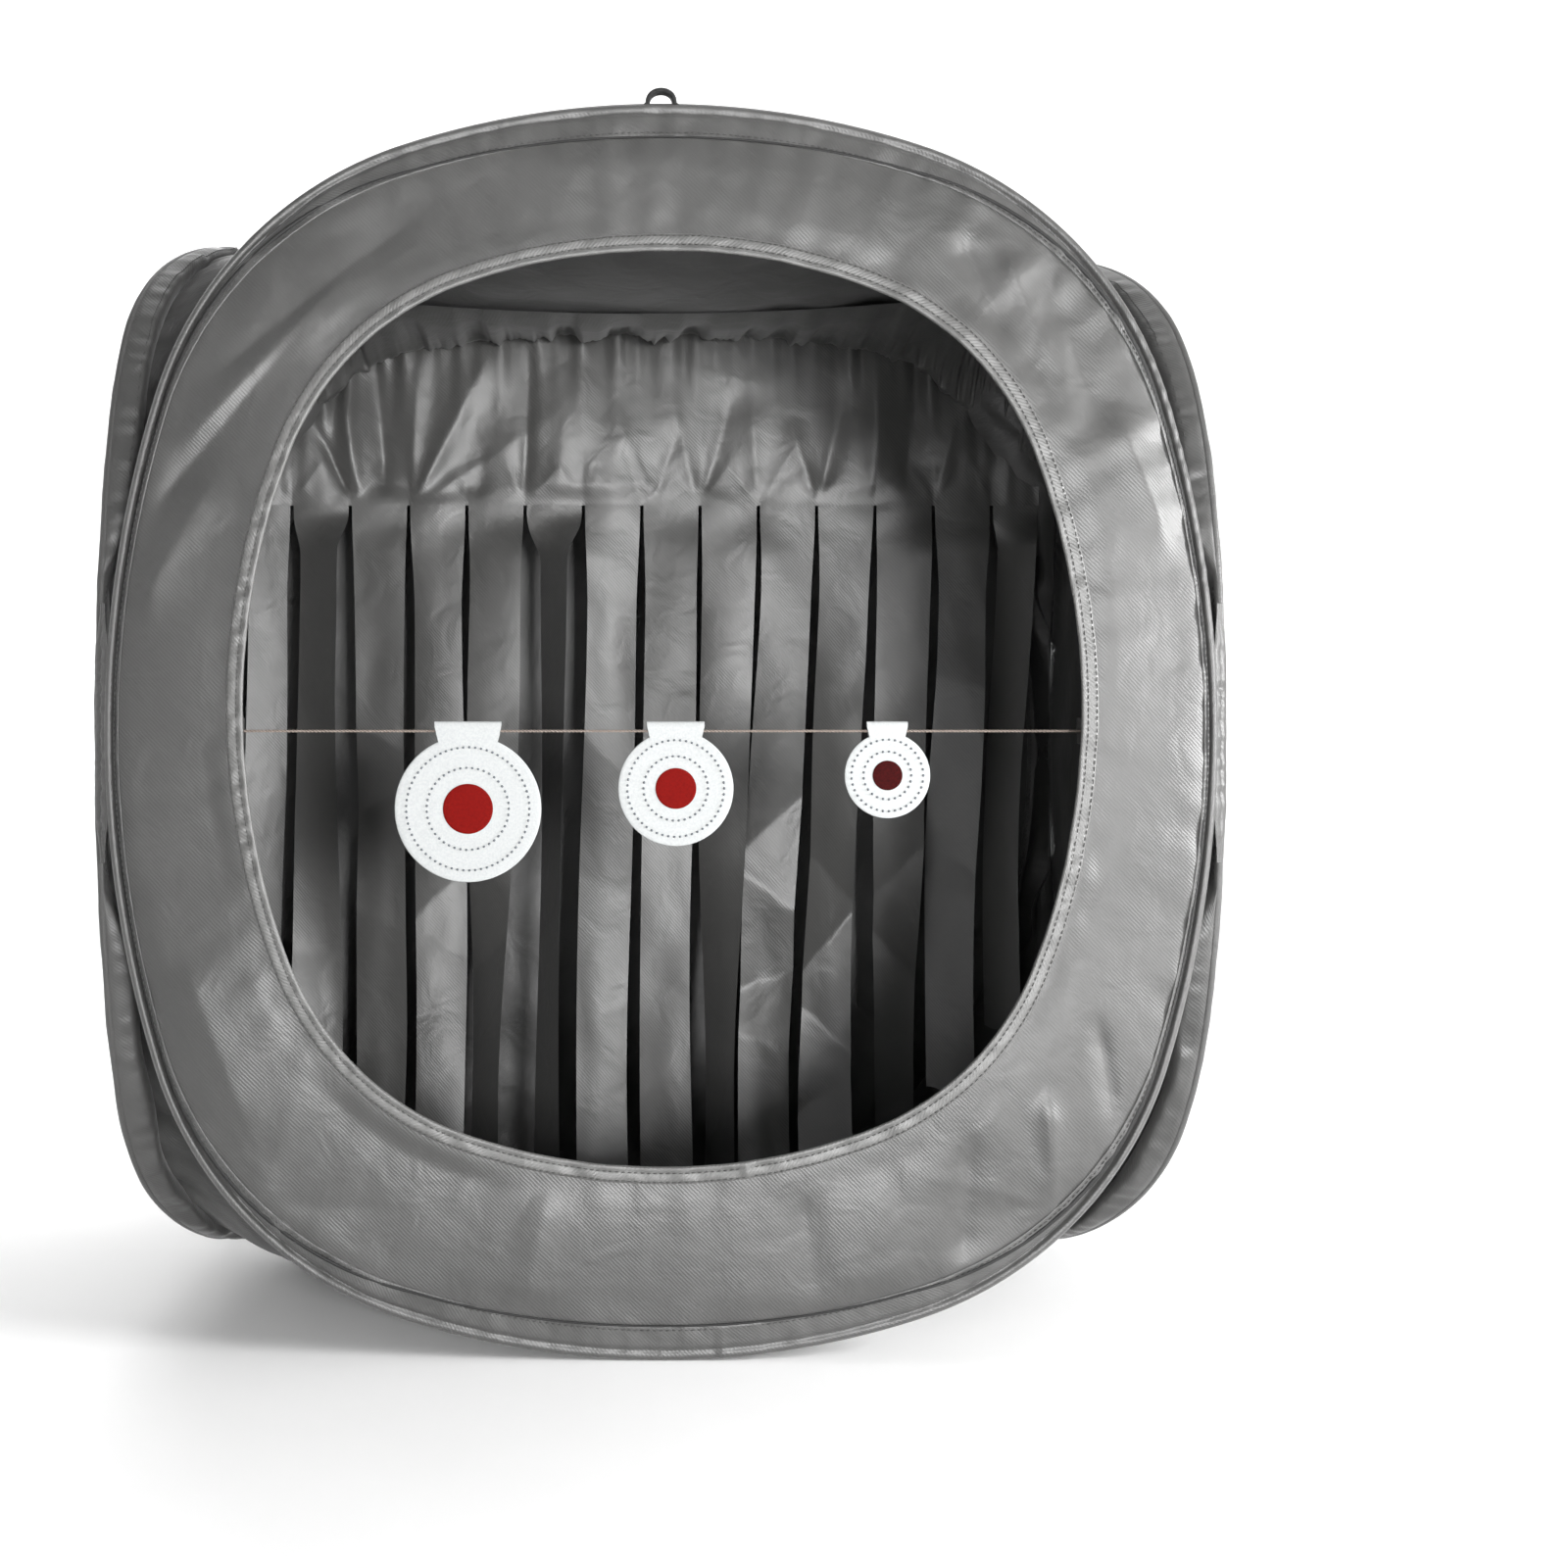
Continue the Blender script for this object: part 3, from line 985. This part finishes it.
def gathered_top():
    """The ruffle where the curtain is sewn to the roof."""
    x = (CURTAIN_HALF - 0.002) * np.sin(np.linspace(-math.pi / 2, math.pi / 2, 900))[None, :]
    run = x + 0.3
    fine = gathers(run, 41, 0.011) + 0.5 * gathers(run, 42, 0.005)
    broad = gathers(run, 43, 0.030)
    rows = []
    for k, (ahead, rise) in enumerate(RUFFLE):
        t = k / (len(RUFFLE) - 1)
        ruffle = math.sin(math.pi * min(1, t * 1.15)) if t < 0.87 else 0.3
        front = ahead + min(1, 0.02 / ahead) * ruffle * (0.0040 * fine + 0.0026 * broad) + 0.001
        y = CURTAIN_Y - 0.001 - front
        pleat = ruffle * (0.0045 * (np.tanh(1.6 * broad) - 0.6) + 0.0026 * fine * t**2)
        z = under_roof(x, CURTAIN_Y - ahead) + rise + np.minimum(pleat, 0.002)
        rows.append(grid(x, y, z)[0])
    across = 0.006 * np.arange(len(RUFFLE))
    band = ribbon("curtain_ruffle", rows, x[0], across, CURTAIN_CLOTH, wrap=False)
    put(band, "curtain", "curtain_cloth", "gather_band")
    flattened(band)


# How each strip hangs, left to right: its turn in degrees near its top and near its foot (positive
# faces right), how far its foot stands forward and moves sideways, the share of its width that it
# loses as its edges curl back, then its hard creases: height above the ground, slope across and bend
# in degrees.
HANG = [
    (6, 4, 0.004, -0.003, 0.10, (0.33, 0.3, 4)),
    (-38, 6, 0.010, 0.000, 0.10, (0.37, -0.5, -7), (0.20, 0.3, 4)),
    (-8, -16, 0.006, 0.002, 0.08, (0.345, 0.45, -12), (0.300, -0.35, 22), (0.215, 0.5, -10),
     (0.12, -0.4, 8)),
    (-3, -3, 0.012, 0.004, 0.10, (0.27, 0.5, 10), (0.235, -0.9, -12), (0.20, 0.6, 8), (0.12, 0.3, -6)),
    (-15, -52, 0.004, -0.006, 0.06, (0.25, 0.6, -12), (0.19, -0.8, 14), (0.10, 0.3, -8)),
    (-60, -64, 0.006, -0.004, 0.06, (0.36, 0.4, 5), (0.22, -0.5, -6)),
    (8, 2, 0.020, -0.008, 0.08, (0.33, 0.9, 7), (0.24, 0.4, -6), (0.15, -0.3, 4)),
    (-3, -10, 0.014, -0.006, 0.09, (0.30, -0.2, -9), (0.17, 0.5, 5)),
    (-9, -58, 0.006, -0.010, 0.06, (0.38, 0.3, 5), (0.2, -0.4, -5)),
    (10, 2, 0.018, -0.022, 0.06, (0.335, 0.8, 8), (0.285, -0.9, -18), (0.235, 0.7, 20),
     (0.175, -0.3, -22), (0.13, 0.4, 16)),
    (0, -8, 0.016, -0.020, 0.10, (0.355, -0.6, 8), (0.245, 0.9, -20), (0.20, -1.0, 22),
     (0.14, 0.8, -18), (0.095, -0.7, 16)),
    (-12, -46, 0.002, -0.010, 0.08, (0.31, 1.1, 10), (0.25, -0.9, -16), (0.19, 0.8, 12),
     (0.11, 0.4, -6)),
    (-5, -14, 0.008, -0.014, 0.12, (0.385, 0.2, -8), (0.26, 0.6, 9), (0.18, -0.3, -6)),
    (-40, -52, 0.006, -0.016, 0.06, (0.34, 0.5, 8), (0.2, -0.6, -8)),
]
STRIP_CLEAR, STRIP_OVER_FLOOR, SWUNG_Y = 0.025, 0.010, 0.160


def strip_cloth(i):
    """One strip of the curtain, turned, leaning and creased as it hangs."""
    first, last, ahead, aside, slack, *creases = HANG[i]
    left, right = SLITS[i] + STRIP_GAP / 2, SLITS[i + 1] - STRIP_GAP / 2
    width, middle = right - left, (left + right) / 2
    corner = max(-left, right) / CAP_X
    floor = float(floor_height(corner, SWUNG_Y / CAP_Y))
    low = max(STRIP_CLEAR, floor + STRIP_OVER_FLOOR)
    length = SLIT_Z - low
    down = np.linspace(0, 1, 260)[:, None]
    across = np.linspace(-0.5, 0.5, 25)[None, :]
    z = SLIT_Z + 0.0003 - (length + 0.0003) * down

    first, last = math.radians(first), math.radians(last)
    wobble = 0.10 * np.sin(5.0 * down + 1.7 * i) * smooth(down / 0.3)
    turn = (first + (last - first) * smooth((down - 0.25) / 0.6)) * smooth(down / 0.085) + wobble
    edge = middle + across * width
    pinned = np.exp(-(down * length / 0.016) ** 2)

    bend = np.zeros(np.broadcast(down, across).shape)
    for height, slope, degrees in creases:
        off = (z - height) + slope * across * width
        bend += math.tan(math.radians(degrees)) / 2 * np.sqrt(off**2 + 0.0013**2)
    bend = bend - (bend[:1] * (1 - down) + bend[-1:] * down)
    curl = 0.0016 * math.sin(1.3 * i + 0.4) * (4 * across**2) * smooth(down / 0.2)
    small = 0.0004 * swell(across * width * 1.6 + 3 * i, z, 70 + i, 0.030) * smooth(down / 0.06)
    lean = 3.2 * ahead * down**2
    sway = aside * smooth(down * 1.1) + 0.0010 * np.sin(7 * down + i) * down
    forward = 0.42 * width * np.abs(np.sin(turn))
    hung_y = CURTAIN_Y + across * width * np.sin(turn) - forward - lean - bend - curl - small
    y = hung_y * (1 - pinned) + (CURTAIN_Y + 0.0002 - lower_edge(edge)) * pinned
    y = np.minimum(y, CURTAIN_Y + 0.0505 - 0.0515 * down)
    curled_back = 1 - slack * smooth(down / 0.16) * (1 + 0.35 * np.sin(9 * down + 2.1 * i))
    x = middle + across * width * np.cos(turn) * curled_back + sway
    z = z + 0.0012 * np.sin(9 * across + i) * down
    points = grid(x, y, z)
    uv = grid(across * width + 0.1 * i, z)
    node = f"strip_{i + 1:02d}"
    strip = sheet_object(f"{node}_cloth", points, uv, CURTAIN_CLOTH)
    put(strip, node, "curtain_cloth", node)
    flattened(strip)


# ---- targets ----

CARD_FRONT, CARD_THICK = 0.0021, 0.0008

# The card's section from the middle of its face over its rim to the middle of its back, and the
# printed spot's: share of the radius, and distance behind the face.
CARD_SECTION = [(0.0, 0), (0.2, 0), (0.4, 0), (0.6, 0), (0.8, 0), (0.93, 0), (0.985, 0.00008),
                (1.0, 0.00025), (1.0, 0.00055), (0.985, 0.00075), (0.9, CARD_THICK), (0.5, CARD_THICK),
                (0.0, CARD_THICK)]
SPOT_SECTION = [(0.0, -0.00045), (0.5, -0.00045), (0.9, -0.00043), (0.97, -0.00036), (1.0, -0.0002),
                (1.0, 0.0002)]
# The tab's section, from the card up its front, over the line and down its back: height above the
# line, and distance behind the card's face.
TAB_FOLD = np.array([(-0.0105, 0.0), (-0.006, 0.0), (0.002, 0.0), (0.0040, 0.0001), (0.0048, 0.0006),
                     (0.0051, 0.0016), (0.0047, 0.0027), (0.0036, 0.0033), (-0.002, 0.0032),
                     (-0.007, 0.0026), (-0.010, 0.0022)])
TAB_FRONT_ROWS, TAB_THICK = 5, 0.0005


def card_target(size, seed):
    """A round card on a tab folded over the line, with rings of pricked dents and a printed centre."""
    disc_x, drop, radius, centre, tab = DISCS[size]
    centre_z, front = LINE_Z - drop, LINE_Y - CARD_FRONT

    def warp(x, z):
        return 0.00035 * swell(x, z, seed, 0.05)

    def disc(section, reach, sides):
        angle = np.linspace(0, 2 * math.pi, sides, endpoint=False)[None, :]
        out, behind = (np.array(column)[:, None] for column in zip(*section))
        x = disc_x + out * reach * np.cos(angle)
        z = centre_z + out * reach * np.sin(angle)
        return grid(x, front + behind - warp(x, z), z), grid(x, z), True

    side = np.linspace(-1, 1, 21)[None, :]
    height = LINE_Z + TAB_FOLD[:, :1]
    level = smooth((height - (LINE_Z - 0.012)) / 0.016)
    tab_x = disc_x + side * (tab / 2 - 0.003 * (1 - level))
    tab_y = front - 0.0001 + TAB_FOLD[:, 1:] - warp(tab_x, height)
    skins = []
    for inside in (0.0, TAB_THICK):
        shift = np.where(np.arange(len(TAB_FOLD)) < TAB_FRONT_ROWS, inside, -inside)[:, None]
        skins.append((grid(tab_x, tab_y + shift, height), grid(tab_x, height), False))
    body = f"target_{size}"
    put(joined(f"{size}_target_card", [disc(CARD_SECTION, radius, 160), *skins], CARD), body, "card", body)

    for ring, share in (("outer", 0.84), ("inner", 0.56)):
        turn = np.linspace(0, 2 * math.pi, 240, endpoint=False)
        x, z = disc_x + share * radius * np.cos(turn), centre_z + share * radius * np.sin(turn)
        path = np.stack([x, front - warp(x, z) + 0.00008, z], 1)
        put(stitches(f"{size}_dents_{ring}", path, FORWARD, DENTS, pitch=0.0032, length=0.0015,
                     width=0.0012), body)

    printed, slot = (MAROON_PRINT, "dark_red_spot") if size == "small" else (RED_PRINT, "red_spot")
    spot = joined(f"{size}_target_centre", [disc(SPOT_SECTION, centre, 96)], printed)
    put(spot, body, slot, f"bullseye_{size}")


# ---- studio ----

FLAT, CURVE = 2.6, 0.9


def studio():
    """A pale floor that curves up all round, a soft key from the front right and soft fills."""
    rise = np.linspace(0.1, math.pi / 2, 14)
    reach = np.concatenate([np.linspace(0, FLAT, 14), FLAT + CURVE * np.sin(rise), [FLAT + CURVE] * 2])
    height = np.concatenate([np.zeros(14), CURVE - CURVE * np.cos(rise), [2.2, 3.4]])
    turn = np.linspace(0, 2 * math.pi, 96, endpoint=False)
    points = grid(reach[:, None] * np.cos(turn), reach[:, None] * np.sin(turn), height[:, None])
    floor_material = plain("studio_floor", (0.90, 0.90, 0.90), (0.87, 0.87, 0.87), 0.7, 3, 0.0001)
    floor = joined("floor", [(points, points[..., :2], True)], floor_material)

    world = bpy.data.worlds.new("studio")
    bpy.context.scene.world = world
    world.use_nodes = True
    background = world.node_tree.nodes["Background"]
    background.inputs["Color"].default_value = (1, 1, 1, 1)
    background.inputs["Strength"].default_value = 0.10

    for name, at, aim, size, power in (
            ("key", (0.42, -2.0, 0.30), (0.0, 0.0, 0.33), 0.32, 39),
            ("low", (-0.25, -1.6, 0.12), (0.1, 0.1, 0.5), 0.4, 2.5),
            ("right", (1.5, -0.8, 0.58), (0.1, -0.2, 0.33), 0.6, 46),
            ("top", (0.0, 0.3, 2.3), (0.0, 0.0, 0.3), 1.6, 15),
            ("rear", (-0.7, 2.0, 1.4), (0.0, 0.0, 0.33), 1.2, 22),
            ("backdrop", (0.0, 1.3, 2.6), (0.0, 3.4, 0.9), 1.8, 60)):
        light = bpy.data.lights.new(name, "AREA")
        light.shape, light.size, light.energy = "SQUARE", size, power
        lamp = bpy.data.objects.new(name, light)
        lamp.location = at
        lamp.rotation_euler = (Vector(at) - Vector(aim)).to_track_quat("Z", "Y").to_euler()
        bpy.context.scene.collection.objects.link(lamp)
    bpy.context.scene.view_settings.view_transform = "Standard"


make_camera()
target_line()
front_panel()
hang_loop()
for number, wall_name in enumerate(WALLS):
    sleeve(wall_name, 100 + 20 * number)
plain_panel("back", 200, 0.003)
plain_panel("left", 220, -0.002)
plain_panel("right", 240, -0.002)
for half, rider in (("front", "front"), ("rear", "back")):
    cap("roof", half, ROOF_CLOTH, rider, 300)
    cap("floor", half, BASE_CLOTH, rider, 340)
for number, (end, edge, hung_on) in enumerate((("front", "left", ("front", "left")),
                                               ("front", "right", ("front", "right")),
                                               ("back", "left", ("back",)), ("back", "right", ("back",)))):
    corner_tape(end, edge, hung_on, 400 + 10 * number)
curtain_header()
gathered_top()
for strip_number in range(STRIPS):
    strip_cloth(strip_number)
for number, disc_size in enumerate(DISCS):
    card_target(disc_size, 81 + number)
studio()
